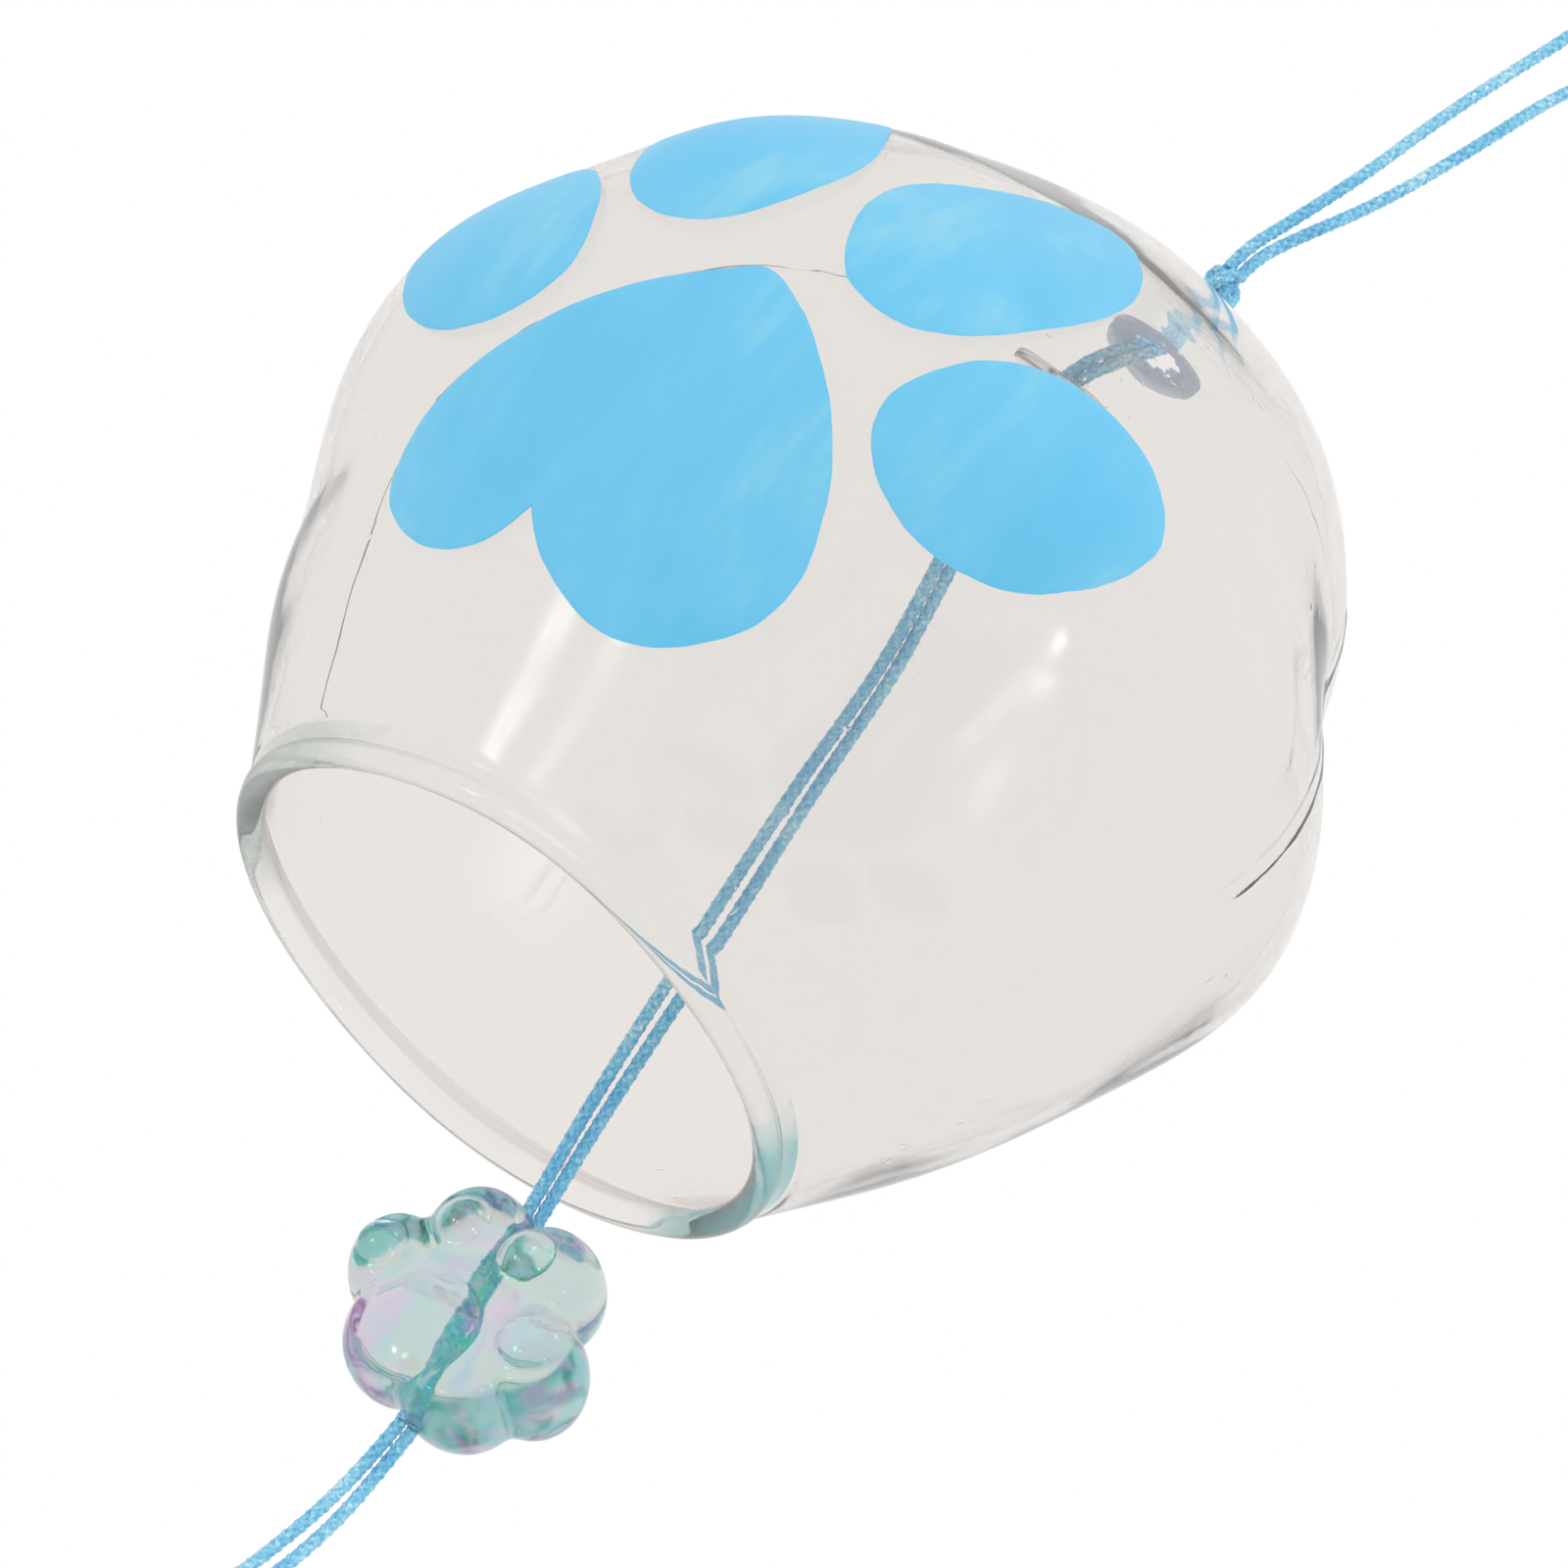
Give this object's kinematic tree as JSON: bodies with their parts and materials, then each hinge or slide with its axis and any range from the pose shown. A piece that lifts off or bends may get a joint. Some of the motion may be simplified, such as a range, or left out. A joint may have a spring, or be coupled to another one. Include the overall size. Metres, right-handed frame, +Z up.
{
  "type": "furin wind bell",
  "caption": "Glass wind bell shaped like a cat's paw with a painted paw print, hung on a braided cord with a paw bead clapper and a paper strip.",
  "frame": {"origin": "where a hook holds the top of the hang loop", "axes": "+Z up along the hanging line, the painted paw print faces -Y"},
  "size_m": [0.0826, 0.0835, 0.3048],
  "materials": {
    "glass": "clear blown glass",
    "paint": "brushed enamel paint",
    "cord": "braided nylon",
    "clear_disc": "clear",
    "bead": "clear resin with a rainbow coat",
    "paper": "uncoated card"
  },
  "bodies": {
    "hanger": {"hang_loop": "cord"},
    "knot": {"crown_knot": "cord"},
    "neck": {"neck_strand_left": "cord", "neck_strand_right": "cord", "stop_washer": "clear_disc"},
    "bell": {"glass_bell": "glass", "toe_pad_1": "paint", "toe_pad_2": "paint", "toe_pad_3": "paint", "toe_pad_4": "paint", "heart_pad": "paint"},
    "stopper": {"stop_knot": "cord"},
    "clapper": {"clapper_strand_left": "cord", "clapper_strand_right": "cord", "paw_bead": "bead"},
    "tail": {"tail_strand_left": "cord", "tail_strand_right": "cord"},
    "tie": {"strip_knot": "cord"},
    "strip": {"strip_loop": "cord", "tanzaku": "paper"}
  },
  "joints": [
    {"name": "bell_sway", "type": "hinge", "parent": "hanger", "child": "knot", "pos_m": [-0.01117, -0.00645, -0.0531], "axis": [0, 1, 0], "range_deg": [-45, 45], "deforming": ["hang_loop"]},
    {"name": "bell_nod", "type": "hinge", "parent": "knot", "child": "neck", "pos_m": [-0.01117, -0.00645, -0.0531], "axis": [1, 0, 0], "range_deg": [-45, 45], "deforming": ["neck_strand_left", "neck_strand_right"]},
    {"name": "bell_lift", "type": "slide", "parent": "neck", "child": "bell", "axis": [0.3696, 0.2134, 0.9044], "range_m": [-0.0034, 0.002], "deforming": ["neck_strand_left", "neck_strand_right"]},
    {"name": "clapper_sway", "type": "hinge", "parent": "neck", "child": "stopper", "pos_m": [-0.01481, -0.00855, -0.0722], "axis": [0, 1, 0], "range_deg": [-4, 19], "deforming": ["neck_strand_left", "neck_strand_right"]},
    {"name": "clapper_nod", "type": "hinge", "parent": "stopper", "child": "clapper", "pos_m": [-0.01481, -0.00855, -0.0722], "axis": [1, 0, 0], "range_deg": [-14.5, 4], "deforming": ["clapper_strand_left", "clapper_strand_right"]},
    {"name": "tail_sway", "type": "hinge", "parent": "clapper", "child": "tail", "pos_m": [-0.00277, -0.0016, -0.1731], "axis": [0, 1, 0], "range_deg": [-60, 60], "deforming": ["clapper_strand_left", "clapper_strand_right", "tail_strand_left", "tail_strand_right"]},
    {"name": "strip_nod", "type": "hinge", "parent": "tail", "child": "tie", "pos_m": [-0.00472, -0.00272, -0.1984], "axis": [1, 0, 0], "range_deg": [-60, 60], "deforming": ["tail_strand_left", "tail_strand_right"]},
    {"name": "strip_twist", "type": "hinge", "parent": "tie", "child": "strip", "pos_m": [-0.00472, -0.00272, -0.1984], "axis": [0, 0, 1], "range_deg": [-170, 170], "deforming": ["strip_loop"]}
  ]
}
